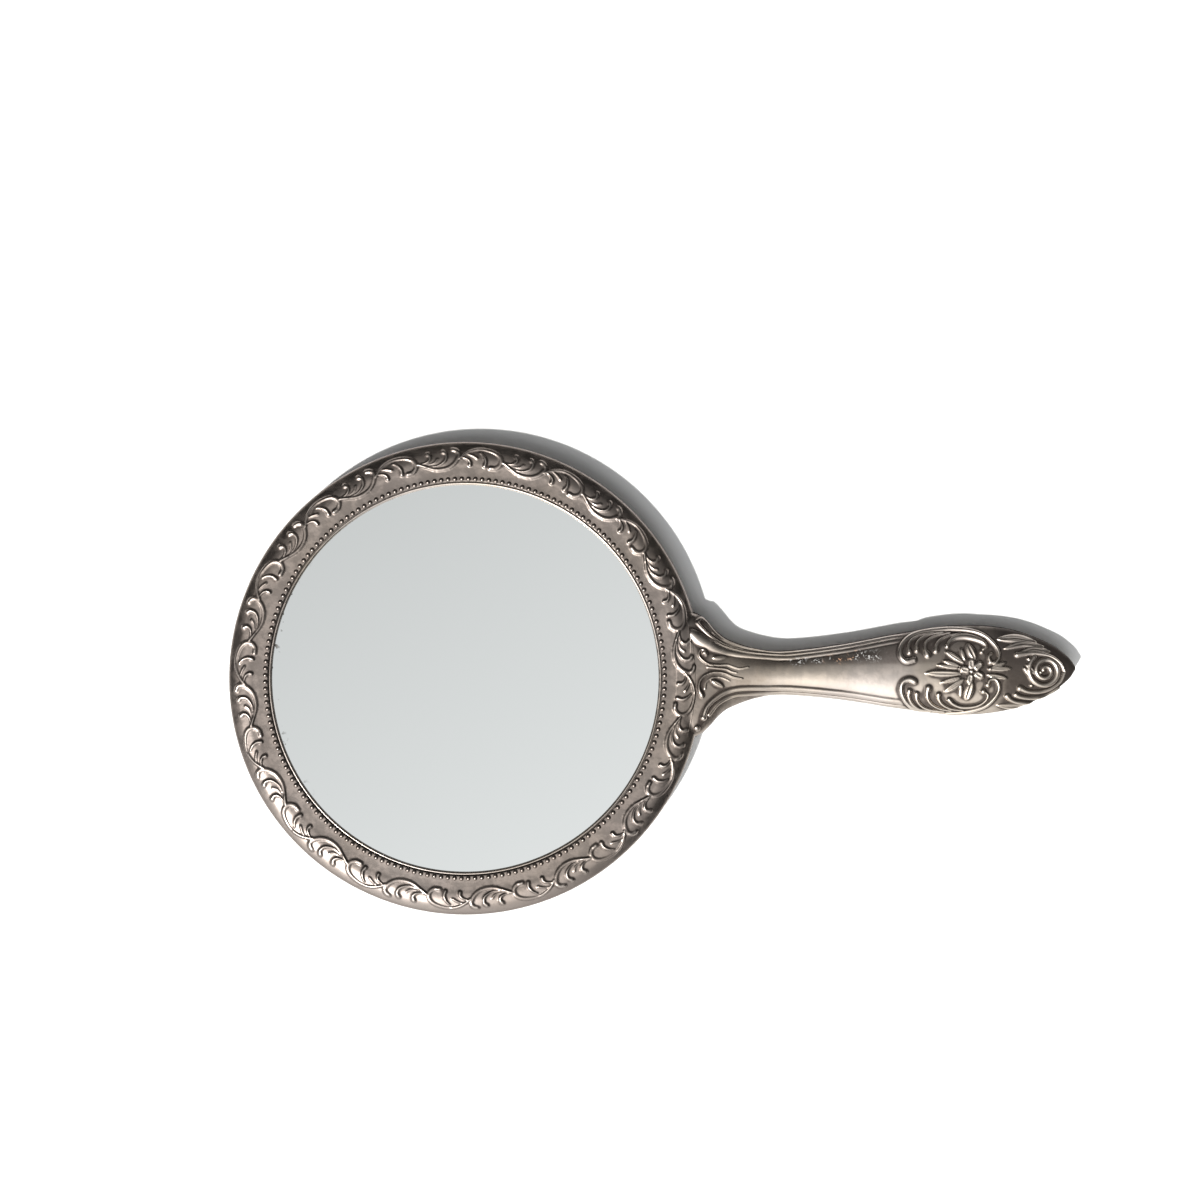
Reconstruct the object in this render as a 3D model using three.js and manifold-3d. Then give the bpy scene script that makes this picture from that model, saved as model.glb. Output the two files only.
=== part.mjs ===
// Hand mirror: a round glass in a scrolled metal frame, on a waisted handle. Two drawn shells,
// front and back, each carry the head and the handle, and are soldered edge to edge. The glass
// and its packing sit in a thin rim that is soldered behind the front shell's opening.
//
// Millimetres, +Z up. The mirror lies on its back with the glass facing up. The origin is on the
// flat centre of the back shell, under the middle of the glass, and the handle runs along +X.
// Neighbouring pieces keep a gap of GAP, where solder, glue or a light press would be.

import * as THREE from "three";
import { mergeVertices } from "three/addons/utils/BufferGeometryUtils.js";
import Module from "manifold-3d";

const wasm = await Module();
wasm.setup();

// ---- Driving dimensions ----

const GAP = 0.3;
const ROUND_STEPS = 72; // segments round the head

const GLASS_RADIUS = 57.15; // a pane of 4.5 inches
const GLASS_THICKNESS = 3;
const HEAD_RADIUS = 68.4; // the back shell's rim, the widest part of the head
const FLANGE = 0.2; // the back shell's edge stands out this far round the front shell
const FRONT_RADIUS = HEAD_RADIUS - FLANGE;
const OPENING_RADIUS = 55.7; // inside the rim's lip
const LIP_OUTER = 56.4;
const WALL = 1.2;

// Heights above the surface that the mirror lies on.
const SEAM = 5; // where the front and back shells meet
const SHEET = 0.9; // thickness of the back shell
const FIELD = 0.9; // the back's ornament field is sunk this far behind its rest faces
const TAB_THICKNESS = 0.4;
const PLATE_THICKNESS = 0.4;
const FELT_THICKNESS = 1;
const CARD_THICKNESS = 0.8;
const WEB_THICKNESS = 0.4; // of the rim, where it passes behind the front shell
const FRONT_SHEET = 0.7;
const LIP_RISE = 0.8; // the rim's lip over the glass

const TAB_BOTTOM = FIELD + SHEET + GAP;
const PLATE_BOTTOM = TAB_BOTTOM + TAB_THICKNESS + GAP;
const FELT_BOTTOM = PLATE_BOTTOM + PLATE_THICKNESS + GAP;
const CARD_BOTTOM = FELT_BOTTOM + FELT_THICKNESS + GAP;
const GLASS_BOTTOM = CARD_BOTTOM + CARD_THICKNESS + GAP;
const LIP_BOTTOM = GLASS_BOTTOM + GLASS_THICKNESS + GAP;
const FRONT_INSIDE = LIP_BOTTOM + WEB_THICKNESS + GAP;
const FRONT_FLAT = FRONT_INSIDE + FRONT_SHEET; // the level of the plain band round the glass

// Inside the head.
const SKIRT_INNER = GLASS_RADIUS + GAP; // the rim's skirt centres the glass
const SKIRT_OUTER = SKIRT_INNER + 1;
const SKIRT_BOTTOM = TAB_BOTTOM + TAB_THICKNESS + GAP;
const TAB_COUNT = 8;
const TAB_WIDTH = 6;
const TAB_REACH = 4; // how far a tab laps under the retainer plate

const NECK_START = 61; // the handle's front runs into the head's front from here
const CORE_START = 70; // the filler stops short of the head

// The row of beads stamped round the opening, as one plain ridge.
const BEAD_RING = 57.42;
const BEAD_RADIUS = 0.65;
const BEAD_HEIGHT = 0.4;

// The back shell's rest faces.
const MEDALLION_RADIUS = 15;
const REST_RING_INNER = 49;
const REST_RING_OUTER = 53;

// The handle's outline: distance from the glass centre, half width, height above the seam.
const HANDLE_STATIONS = [
  [59, 18.2, 5.5],
  [64, 18.4, 5.5],
  [67.6, 17.4, 5.5],
  [70.4, 15, 5.5],
  [73.3, 11.9, 5.45],
  [76.6, 9.7, 5.4],
  [84, 7.2, 5.2],
  [92, 6.4, 5],
  [107.9, 8, 4.9],
  [125.2, 10.9, 4.9],
  [142.4, 13, 4.8],
  [157, 11.8, 4.4],
  [168.4, 7.6, 3.3],
  [174, 3.7, 2.2],
  [176.3, 0.8, 1.3],
];
const HANDLE_STEPS = 40;
const SECTION_STEPS = 14; // round half of a cross-section
const EDGE_WALL = 0.8; // the upright edge of each half, below its dome
const BACK_DEPTH = 0.8; // the back shell's depth as a share of the front's height

// The tang: a steel strip in the handle, with a T-head riveted inside the head.
const TANG_THICKNESS = 1.2;
const TANG_WIDTH = 5;
const TANG_END = 150;
const T_HEAD_WIDTH = 26;
const T_HEAD_INNER = 59.5;
const T_HEAD_OUTER = 65;
const RIVET_PLACES = [-9, 9]; // from the handle's axis
const RIVET_DISTANCE = 61.4;
const RIVET_RADIUS = 1.1;
const RIVET_HEAD_RADIUS = 2;
const RIVET_HEAD_HEIGHT = 0.9;
const BOSS_WALL = 0.9;
const BOSS_TOP = 10.2; // buried in the front shell's crest
const BOSS_FLOOR = 1; // solid metal above a rivet hole

// ---- Materials ----

const silverPlate = new THREE.MeshStandardMaterial({ color: 0x9d948a, roughness: 0.35, metalness: 1 });
const mirrorGlass = new THREE.MeshStandardMaterial({ color: 0xd3d7d7, roughness: 0.02, metalness: 1 });
const greyCard = new THREE.MeshStandardMaterial({ color: 0x8a8377, roughness: 0.95, metalness: 0 });
const greenFelt = new THREE.MeshStandardMaterial({ color: 0x3d4a3c, roughness: 1, metalness: 0 });
const tinplate = new THREE.MeshStandardMaterial({ color: 0xb4b6b6, roughness: 0.4, metalness: 1 });
const springBrass = new THREE.MeshStandardMaterial({ color: 0xb08d4a, roughness: 0.4, metalness: 1 });
const blackSteel = new THREE.MeshStandardMaterial({ color: 0x5a5c60, roughness: 0.5, metalness: 1 });
const plasterFill = new THREE.MeshStandardMaterial({ color: 0xcfc8ba, roughness: 0.95, metalness: 0 });

// ---- Solids ----

// A closed three.js geometry as a manifold solid.
function solid(geometry) {
  const bare = geometry.clone();
  bare.deleteAttribute("normal");
  bare.deleteAttribute("uv");
  const merged = mergeVertices(bare, 1e-4);
  const corners = [];
  for (let i = 0; i < merged.index.count; i += 3) {
    const [a, b, c] = [0, 1, 2].map((k) => merged.index.getX(i + k));
    if (a !== b && b !== c && a !== c) corners.push(a, b, c);
  }
  const vertProperties = merged.attributes.position.array;
  const triVerts = new Uint32Array(corners);
  return new wasm.Manifold(new wasm.Mesh({ numProp: 3, vertProperties, triVerts }));
}

// A manifold solid as a named mesh.
function mesh(name, made, material) {
  const data = made.getMesh();
  const geometry = new THREE.BufferGeometry();
  geometry.setAttribute("position", new THREE.BufferAttribute(data.vertProperties, 3));
  geometry.setIndex(new THREE.BufferAttribute(data.triVerts, 1));
  geometry.computeVertexNormals();
  const made3 = new THREE.Mesh(geometry, material);
  made3.name = name;
  return made3;
}

// A solid of revolution about +Z from [radius, height] points, listed anticlockwise.
function revolve(profile) {
  const onAxis = profile[0][0] === 0;
  const closed = onAxis ? profile : [...profile, profile[0]];
  const points = closed.map(([r, z]) => new THREE.Vector2(r, z));
  return solid(new THREE.LatheGeometry(points, ROUND_STEPS).rotateX(Math.PI / 2));
}

function disc(radius, bottom, thickness) {
  const top = bottom + thickness;
  return revolve([[0, bottom], [radius, bottom], [radius, top], [0, top]]);
}

function box(low, high) {
  const size = low.map((v, i) => high[i] - v);
  const middle = low.map((v, i) => (v + high[i]) / 2);
  return solid(new THREE.BoxGeometry(...size).translate(...middle));
}

// An upright cylinder.
function post(x, y, bottom, top, radius) {
  const height = top - bottom;
  const geometry = new THREE.CylinderGeometry(radius, radius, height, 16).rotateX(Math.PI / 2);
  return solid(geometry.translate(x, y, (bottom + top) / 2));
}

// ---- The head ----

// The front shell round the head, from its outer edge over the crest to the opening, and back
// along its inner face.
function frontRing() {
  const seam = SEAM + GAP / 2;
  const bead = FRONT_FLAT + BEAD_HEIGHT;
  return revolve([
    [FRONT_RADIUS, seam],
    [FRONT_RADIUS, 8.1],
    [68, 8.8],
    [67.6, 9.2],
    [67, 9.6],
    [66, 10.1],
    [65, 10.45],
    [63.5, 10.72],
    [62, 10.74],
    [60.6, 10.66],
    [BEAD_RING + BEAD_RADIUS, FRONT_FLAT],
    [BEAD_RING + BEAD_RADIUS / 2, bead],
    [BEAD_RING - BEAD_RADIUS / 2, bead],
    [BEAD_RING - BEAD_RADIUS, FRONT_FLAT],
    [LIP_OUTER + GAP, FRONT_FLAT],
    [LIP_OUTER + GAP, FRONT_INSIDE],
    [60.6, FRONT_INSIDE],
    [62, 9.95],
    [63.5, 9.9],
    [65, 9.4],
    [66, 8.6],
    [66.6, 7.9],
    [FRONT_RADIUS - WALL, 7],
    [FRONT_RADIUS - WALL, seam],
  ]);
}

// The thin rim round the glass: a rounded lip in front, a web behind the front shell and a skirt.
function glassRim() {
  const webTop = LIP_BOTTOM + WEB_THICKNESS;
  const lipTop = LIP_BOTTOM + LIP_RISE;
  return mesh(
    "glass_rim",
    revolve([
      [SKIRT_INNER, SKIRT_BOTTOM],
      [SKIRT_OUTER, SKIRT_BOTTOM],
      [SKIRT_OUTER, webTop],
      [LIP_OUTER, webTop],
      [LIP_OUTER, lipTop - 0.1],
      [LIP_OUTER - 0.1, lipTop],
      [OPENING_RADIUS + 0.4, lipTop - 0.05],
      [OPENING_RADIUS + 0.15, lipTop - 0.25],
      [OPENING_RADIUS, lipTop - 0.55],
      [OPENING_RADIUS, LIP_BOTTOM],
      [SKIRT_INNER, LIP_BOTTOM],
    ]),
    silverPlate,
  );
}

function mirrorPane() {
  const arris = 0.4;
  const top = GLASS_BOTTOM + GLASS_THICKNESS;
  return mesh(
    "mirror_glass",
    revolve([
      [0, GLASS_BOTTOM],
      [GLASS_RADIUS - arris, GLASS_BOTTOM],
      [GLASS_RADIUS, GLASS_BOTTOM + arris],
      [GLASS_RADIUS, top - arris],
      [GLASS_RADIUS - arris, top],
      [0, top],
    ]),
    mirrorGlass,
  );
}

// A strip soldered outside the skirt and folded in under the retainer plate.
function retainerTab(number) {
  const legInner = SKIRT_OUTER + GAP;
  const legOuter = legInner + TAB_THICKNESS;
  const half = TAB_WIDTH / 2;
  const foldTop = TAB_BOTTOM + TAB_THICKNESS;
  const foot = box([GLASS_RADIUS - TAB_REACH, -half, TAB_BOTTOM], [legOuter, half, foldTop]);
  const leg = box([legInner, -half, TAB_BOTTOM], [legOuter, half, GLASS_BOTTOM]);
  const made = mesh(`retainer_tab_${number}`, foot.add(leg), springBrass);
  made.rotation.z = ((number - 0.5) / TAB_COUNT) * 2 * Math.PI;
  return made;
}

// ---- The handle ----

// The handle's stations, [distance, half width, height], drawn in by an inset.
function handleStations(inset) {
  const curve = new THREE.CatmullRomCurve3(HANDLE_STATIONS.map((s) => new THREE.Vector3(...s)));
  return curve
    .getSpacedPoints(HANDLE_STEPS)
    .map((p) => [p.x, p.y - inset, p.z - inset])
    .filter(([, halfWidth, height]) => halfWidth > inset / 2 && height > inset / 4);
}

// Half of the handle as a solid, over its crown from the seam. side is 1 for the front, -1 for the
// back, and past is how far the half goes on past the seam.
function handleHalf(inset, side, past = 0) {
  const stations = handleStations(inset);
  const share = side > 0 ? 1 : BACK_DEPTH;
  const base = SEAM + side * (GAP / 2);
  const positions = [];
  for (const [x, halfWidth, height] of stations)
    for (let k = 0; k <= SECTION_STEPS; k++) {
      const angle = (Math.PI * Math.min(Math.max(k - 1, 0), SECTION_STEPS - 2)) / (SECTION_STEPS - 2);
      const wall = Math.min(EDGE_WALL, (share * height) / 2);
      const up = k % SECTION_STEPS ? wall + (share * height - wall) * Math.sin(angle) : -past;
      positions.push(x, halfWidth * Math.cos(angle), base + side * up);
    }
  const row = SECTION_STEPS + 1;
  const faces = [];
  const quad = (a, b, c, d) => faces.push(a, b, c, a, c, d);
  for (let i = 0; i + 1 < stations.length; i++)
    for (let k = 0; k < row; k++) {
      const next = (k + 1) % row;
      quad(i * row + k, (i + 1) * row + k, (i + 1) * row + next, i * row + next);
    }
  const last = (stations.length - 1) * row;
  for (let k = 1; k + 1 < row; k++) faces.push(0, k, k + 1, last, last + k + 1, last + k);
  if (side > 0) faces.reverse();
  const geometry = new THREE.BufferGeometry();
  geometry.setAttribute("position", new THREE.Float32BufferAttribute(positions, 3));
  geometry.setIndex(faces);
  return solid(geometry);
}

// The front of the head and of the handle, drawn from one sheet, with two bosses for the rivets.
function frontShell() {
  const neck = handleHalf(FLANGE, 1).subtract(disc(NECK_START, 0, 20));
  let made = frontRing().add(neck).subtract(handleHalf(FLANGE + WALL, 1, 1));
  const boss = RIVET_RADIUS + GAP + BOSS_WALL;
  const bossBottom = SEAM + TANG_THICKNESS / 2 + GAP;
  const holeTop = LIP_BOTTOM - BOSS_FLOOR;
  for (const y of RIVET_PLACES) {
    made = made.add(post(RIVET_DISTANCE, y, bossBottom, BOSS_TOP, boss));
    made = made.subtract(post(RIVET_DISTANCE, y, bossBottom - 1, holeTop, RIVET_RADIUS + GAP));
  }
  return mesh("front_shell", made, silverPlate);
}

// The back of the head and of the handle, drawn from one sheet.
function backShell() {
  const rim = SEAM - GAP / 2;
  const headOuter = revolve([
    [0, 0],
    [MEDALLION_RADIUS, 0],
    [MEDALLION_RADIUS + 1, FIELD],
    [REST_RING_INNER - 1, FIELD],
    [REST_RING_INNER, 0],
    [REST_RING_OUTER, 0],
    [60, 0.5],
    [65, 1.6],
    [67.4, 3],
    [HEAD_RADIUS, 4.2],
    [HEAD_RADIUS, rim],
    [0, rim],
  ]);
  const headInner = revolve([
    [0, SHEET],
    [MEDALLION_RADIUS, SHEET],
    [MEDALLION_RADIUS + 1, FIELD + SHEET],
    [REST_RING_INNER - 1, FIELD + SHEET],
    [REST_RING_INNER, SHEET],
    [REST_RING_OUTER, SHEET],
    [59, 1.4],
    [63.5, 2.2],
    [66, 3.4],
    [HEAD_RADIUS - WALL, rim - 0.4],
    [HEAD_RADIUS - WALL, rim + 1],
    [0, rim + 1],
  ]);
  const outer = headOuter.add(handleHalf(0, -1));
  return mesh("back_shell", outer.subtract(headInner).subtract(handleHalf(WALL, -1, 1)), silverPlate);
}

// Hard filler in the hollow of the handle, cast round the tang.
function handleCore() {
  const inset = WALL + GAP;
  let made = handleHalf(FLANGE + inset, 1, GAP).add(handleHalf(inset, -1, GAP));
  made = made.subtract(disc(CORE_START, -1, 20)).subtract(tangStrip(GAP));
  return mesh("handle_core", made, plasterFill);
}

// The tang's strip and T-head, grown by a clearance.
function tangStrip(clearance) {
  const half = TANG_WIDTH / 2 + clearance;
  const depth = TANG_THICKNESS / 2 + clearance;
  const end = TANG_END + clearance;
  return box([T_HEAD_INNER - clearance, -half, SEAM - depth], [end, half, SEAM + depth]);
}

function tang() {
  const half = T_HEAD_WIDTH / 2;
  const depth = TANG_THICKNESS / 2;
  const reach = FRONT_RADIUS - WALL - GAP;
  let made = box([T_HEAD_INNER, -half, SEAM - depth], [T_HEAD_OUTER, half, SEAM + depth]);
  made = made.intersect(disc(reach, SEAM - 1, 2)).add(tangStrip(0));
  for (const y of RIVET_PLACES) made = made.subtract(post(RIVET_DISTANCE, y, 0, 10, RIVET_RADIUS + GAP));
  return mesh("tang", made, blackSteel);
}

function tangRivet(number, y) {
  const under = SEAM - TANG_THICKNESS / 2 - GAP;
  const top = LIP_BOTTOM - BOSS_FLOOR - GAP;
  const head = post(RIVET_DISTANCE, y, under - RIVET_HEAD_HEIGHT, under, RIVET_HEAD_RADIUS);
  const shank = post(RIVET_DISTANCE, y, under - 0.1, top, RIVET_RADIUS);
  return mesh(`tang_rivet_${number}`, head.add(shank), springBrass);
}

// ---- Assembly ----

const handMirror = new THREE.Group();

handMirror.add(frontShell());
handMirror.add(backShell());

const head = new THREE.Group();
head.add(glassRim());
head.add(mirrorPane());
head.add(mesh("backing_card", disc(GLASS_RADIUS - GAP, CARD_BOTTOM, CARD_THICKNESS), greyCard));
head.add(mesh("felt_pad", disc(GLASS_RADIUS - GAP, FELT_BOTTOM, FELT_THICKNESS), greenFelt));
head.add(mesh("retainer_plate", disc(GLASS_RADIUS - GAP, PLATE_BOTTOM, PLATE_THICKNESS), tinplate));
for (let number = 1; number <= TAB_COUNT; number++) head.add(retainerTab(number));
handMirror.add(head);

const handle = new THREE.Group();
handle.add(handleCore());
handle.add(tang());
RIVET_PLACES.forEach((y, i) => handle.add(tangRivet(i + 1, y)));
handMirror.add(handle);

export default handMirror;
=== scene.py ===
"""The hand mirror's looks: stamped relief, beads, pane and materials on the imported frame.

The row frame is in metres, and this script works in millimetres until a mesh is written. The
origin is on the flat centre of the back, +Z is out of the glass and +X runs along the handle.
"""

import math

import bmesh
import bpy
import numpy as np
from mathutils import Matrix, Vector

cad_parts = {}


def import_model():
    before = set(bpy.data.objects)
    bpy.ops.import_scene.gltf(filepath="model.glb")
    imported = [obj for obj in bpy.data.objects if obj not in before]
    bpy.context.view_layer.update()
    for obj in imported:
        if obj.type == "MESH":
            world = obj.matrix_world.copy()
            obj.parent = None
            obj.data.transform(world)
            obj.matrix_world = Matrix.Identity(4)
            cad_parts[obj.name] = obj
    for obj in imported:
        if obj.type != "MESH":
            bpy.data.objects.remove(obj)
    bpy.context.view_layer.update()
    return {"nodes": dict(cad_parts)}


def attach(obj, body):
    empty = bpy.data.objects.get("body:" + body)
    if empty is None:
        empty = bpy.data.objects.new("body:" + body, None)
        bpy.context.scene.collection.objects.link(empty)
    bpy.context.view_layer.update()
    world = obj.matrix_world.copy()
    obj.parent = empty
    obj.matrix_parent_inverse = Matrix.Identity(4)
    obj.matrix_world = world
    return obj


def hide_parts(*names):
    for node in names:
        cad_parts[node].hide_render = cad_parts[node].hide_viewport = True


MM = 0.001

# ---- Sizes shared with the CAD model, in millimetres ----

HEAD_RADIUS = 68.4
FRONT_RADIUS = 68.2
OPENING_RADIUS = 55.7
LIP_OUTER = 56.4
PANE_RADIUS = 57.15
PANE_BOTTOM = 5.9
PANE_TOP = 8.9
SKIRT_INNER = 57.45
SKIRT_OUTER = 58.45
SKIRT_BOTTOM = 2.8
LIP_BOTTOM = 9.2
LIP_TOP = 10.0
WEB_TOP = 9.6
FRONT_INSIDE = 9.9
SEAM = 5.0
GAP = 0.3
WALL = 1.2
SHEET = 0.9
FIELD = 0.9  # how far the back's ornamented field is sunk
MEDALLION_RADIUS = 15
REST_RING_INNER = 49
REST_RING_OUTER = 53
FLANGE = 0.2
BACK_DEPTH = 0.8
JOIN_RADIUS = 66.0  # the head's front mesh and the handle's front mesh meet here

# Distance from the glass centre, half width, height above the seam.
HANDLE_STATIONS = [
    (59, 18.2, 5.5),
    (64, 18.4, 5.5),
    (67.6, 17.4, 5.5),
    (70.4, 15, 5.5),
    (73.3, 11.9, 5.45),
    (76.6, 9.7, 5.4),
    (84, 7.2, 5.2),
    (92, 6.4, 5),
    (107.9, 8, 4.9),
    (125.2, 10.9, 4.9),
    (142.4, 13, 4.8),
    (157, 11.8, 4.4),
    (168.4, 7.6, 3.3),
    (174, 3.7, 2.2),
    (176.3, 0.8, 1.3),
]
NECK_RISE = 0.25  # how much the neck's crown rises to meet the head
NECK_SQUARENESS = 1.8  # how much flatter the neck's crown is there than an ellipse
EDGE_WALL = 0.8  # the upright edge of a handle shell, below its dome

# ---- Ornament ----

RING_PAIRS = 16  # a cup scroll and an arch scroll make one pair
PAIR_ANGLE = 360 / RING_PAIRS
FIRST_CUP = 0.2  # degrees from the handle's axis
ORNAMENT_RADIUS = 64  # arc lengths in the ring's ornament are measured here
BEAD_COUNT = 184
BEAD_RING = 57.42
BEAD_SIZE = 0.7  # radius of a bead
BEAD_RISE = 0.85  # its height as a share of its radius
RING_RELIEF = 0.4  # the full height of the relief on the ring, the handle and the back
HANDLE_RELIEF = 0.62
BACK_RELIEF = 0.75
JOIN_BLEND = 0.35  # how softly the head's face and the handle's face meet

# The front shell's face round the head, before its ornament, as radius and level.
RING_FACE = [
    (56.9, 10.6),
    (58.6, 10.6),
    (60.6, 10.66),
    (62, 10.74),
    (63.5, 10.72),
    (65, 10.45),
    (66, 10.1),
    (67, 9.6),
    (67.6, 9.2),
    (68, 8.8),
    (68.18, 8.2),
    (68.2, 7.4),
    (68.2, 6.6),
]

# ---- Camera, measured from the middle of the glass ----

VIEW_CENTRE = (39.17, 21.96)
VIEW_TURN = -0.945  # degrees
CAMERA_HEIGHT = 709
LENS = 72.9

# ---- Studio. A heading is in degrees round from the handle's direction. ----

LIGHT_HEIGHT = 55  # degrees above the table
LIGHT_HEADING = 228
LIGHT_STRENGTH = 4.6
LIGHT_SPREAD = 3  # degrees
LIGHT_COLOUR = (1, 0.985, 0.96)
ROOM_COLOUR = (0.985, 1.0, 1.0, 1)
CEILING = 0.67  # how bright each part of the room is
WINDOW = 1.82
WALLS = 0.05
CEILING_TILT = (0.45, -0.85)  # how much brighter the ceiling gets along x and y
CEILING_EDGE = (0.66, 1.0)  # the ceiling fades in between these heights on a unit sphere
FAR_SIDE = (0.12, 0.4)  # and it is dimmer past these distances along x
FAR_SIDE_DIMMING = 0.6
WINDOW_HEADING = 250
WINDOW_LEAN = (0.16, 0.36)  # the window fades in between these distances out from overhead
WINDOW_SIDES = (0.5, 0.88)  # and between these cosines from its heading
WINDOW_SILL = (-0.05, 0.2)
FLOOR_SIZE = 30  # metres, so that its far edge stays near eye level in a low view
FLOOR_GREY = 0.9


# ---- Curves and relief ----


def spline(points, steps=8):
    """A Catmull-Rom curve through the points, which may hold any number of values each."""
    p = np.asarray(points, float)
    p = np.vstack([2 * p[0] - p[1], p, 2 * p[-1] - p[-2]])
    t = np.linspace(0, 1, steps, endpoint=False)[:, None]
    out = []
    for a, b, c, d in zip(p[:-3], p[1:-2], p[2:-1], p[3:]):
        square = 2 * a - 5 * b + 4 * c - d
        cube = 3 * b - a - 3 * c + d
        out.append(0.5 * (2 * b + (c - a) * t + square * t**2 + cube * t**3))
    return np.vstack([*out, p[-2]])


def smooth(x):
    x = np.clip(x, 0, 1)
    return x * x * (3 - 2 * x)


class Relief:
    """Raised ornament, as the height over a surface of the points (u, v), in millimetres."""

    def __init__(self, u, v):
        self.u = u
        self.v = v
        self.height = np.zeros_like(u)

    def ridge(self, path, height, bluntness=0.85, fade=1.0):
        """A rounded ridge along a path of (u, v, half width).

        Along the path its height changes evenly, from the given height to fade times as much.
        """
        path = np.asarray(path, float)
        reach = path[:, 2].max() * 1.05
        low = path[:, :2].min(0) - reach
        high = path[:, :2].max(0) + reach
        near = (self.u > low[0]) & (self.u < high[0]) & (self.v > low[1]) & (self.v < high[1])
        if not near.any():
            return
        u, v = self.u[near], self.v[near]
        best = np.zeros_like(u)
        for i, ((au, av, aw), (bu, bv, bw)) in enumerate(zip(path[:-1], path[1:])):
            du, dv = bu - au, bv - av
            t = np.clip(((u - au) * du + (v - av) * dv) / max(du * du + dv * dv, 1e-9), 0, 1)
            d2 = (u - au - t * du) ** 2 + (v - av - t * dv) ** 2
            w = aw + (bw - aw) * t
            rise = np.clip(1 - d2 / (w * w), 0, 1) ** bluntness
            rise *= 1 + (fade - 1) * (i + t) / (len(path) - 1)
            best = np.maximum(best, rise * np.minimum(1, w / 0.4))
        self.height[near] = np.maximum(self.height[near], best * height)

    def scroll(self, points, width, bulb, height, tail=0.35):
        """A curved stem that starts in a round bulb and thins towards its tail."""
        line = spline(points)
        run = np.linspace(0, 1, len(line))
        body = width * (1 + (tail - 1) * smooth(run * 1.15 - 0.15))
        swell = (bulb - width) * np.exp(-((run / 0.12) ** 2))
        self.ridge(np.column_stack([line, body + swell]), height)

    def leaf(self, base, tip, width, height, bend=0.0):
        """A pointed leaf with a crease down its middle."""
        base, tip = np.asarray(base, float), np.asarray(tip, float)
        side = np.array([base[1] - tip[1], tip[0] - base[0]])
        line = spline([base, (base + tip) / 2 + side * bend, tip])
        run = np.linspace(0, 1, len(line))
        shape = width * np.sin(np.pi * np.clip(run * 0.86 + 0.1, 0, 1)) ** 0.8
        before = self.height.copy()
        self.ridge(np.column_stack([line, np.maximum(shape, 0.08)]), height)
        crease = Relief(self.u, self.v)
        crease.ridge(np.column_stack([line, np.full(len(line), width * 0.3)]), height * 0.45)
        raised = self.height > before
        self.height[raised] -= crease.height[raised]

    def hollow(self, path, depth):
        """A rounded groove cut in what is already raised."""
        cut = Relief(self.u, self.v)
        cut.ridge(path, depth)
        self.height -= np.where(self.height > depth, cut.height, 0)

    def knob(self, u, v, radius, height):
        self.ridge([(u, v, radius), (u + 1e-3, v, radius)], height, 0.5)


def blur(values, radius, wrap):
    """A box blur, run twice. radius is a number of grid cells along each axis."""
    out = values
    for axis, r in enumerate(radius):
        for _ in range(2):
            mode = "wrap" if wrap[axis] else "edge"
            pad = [(0, 0), (0, 0)]
            pad[axis] = (r, r)
            padded = np.pad(out, pad, mode=mode)
            total = np.cumsum(padded, axis=axis)
            total = np.concatenate([np.zeros_like(np.take(total, [0], axis)), total], axis)
            count = out.shape[axis]
            window = 2 * r + 1
            ahead = np.take(total, range(window, window + count), axis)
            out = (ahead - np.take(total, range(count), axis)) / window
    return out


def tarnish_and_shade(height, radius, wrap, scale):
    """From 0 on open ground to 1 in the creases between raised ornament."""
    return np.clip((blur(height, radius, wrap) - height) / scale, 0, 1)


# ---- Meshes ----


def finish_piece(obj, slot, *nodes):
    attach(obj, "root")
    if nodes:
        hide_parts(*nodes)
    return obj


def grid_object(name, points, wrap_rows, wrap_cols, material, shade=None, caps=()):
    """A mesh from a grid of points, rows by columns, in millimetres.

    shade holds one array per vertex attribute, and caps lists the rows to close with a fan.
    """
    rows, cols = points.shape[:2]
    index = np.arange(rows * cols).reshape(rows, cols)
    if wrap_rows:
        index = np.vstack([index, index[:1]])
    if wrap_cols:
        index = np.hstack([index, index[:, :1]])
    quads = np.stack([index[:-1, :-1], index[1:, :-1], index[1:, 1:], index[:-1, 1:]], -1).reshape(-1, 4)
    verts = points.reshape(-1, 3)
    faces = quads.tolist()
    ring = np.arange(rows * cols).reshape(rows, cols)
    for end in caps:
        edge = ring[end]
        middle = len(verts)
        verts = np.vstack([verts, verts[edge].mean(0)])
        after = np.roll(edge, -1)
        count = len(edge) if wrap_cols else len(edge) - 1
        faces += [(int(a), int(b), middle) for a, b in zip(edge[:count], after[:count])]
    mesh = bpy.data.meshes.new(name)
    mesh.from_pydata((verts * MM).tolist(), [], faces)
    for key, values in (shade or {}).items():
        flat = np.concatenate([values.reshape(-1), np.zeros(len(verts) - values.size)])
        mesh.attributes.new(key, "FLOAT", "POINT").data.foreach_set("value", flat.astype(np.float32))
    tidy = bmesh.new()
    tidy.from_mesh(mesh)
    bmesh.ops.remove_doubles(tidy, verts=tidy.verts, dist=1e-7)
    bmesh.ops.recalc_face_normals(tidy, faces=tidy.faces)
    tidy.to_mesh(mesh)
    tidy.free()
    mesh.shade_smooth()
    obj = bpy.data.objects.new(name, mesh)
    bpy.context.scene.collection.objects.link(obj)
    obj.data.materials.append(material)
    return obj


def resample(profile, step):
    """Points along a polyline, a step apart, with its corners kept."""
    out = []
    for a, b in zip(profile[:-1], profile[1:]):
        a, b = np.array(a, float), np.array(b, float)
        n = max(1, int(round(np.linalg.norm(b - a) / step)))
        out += [a + (b - a) * i / n for i in range(n)]
    return np.array([*out, np.array(profile[-1], float)])


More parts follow.
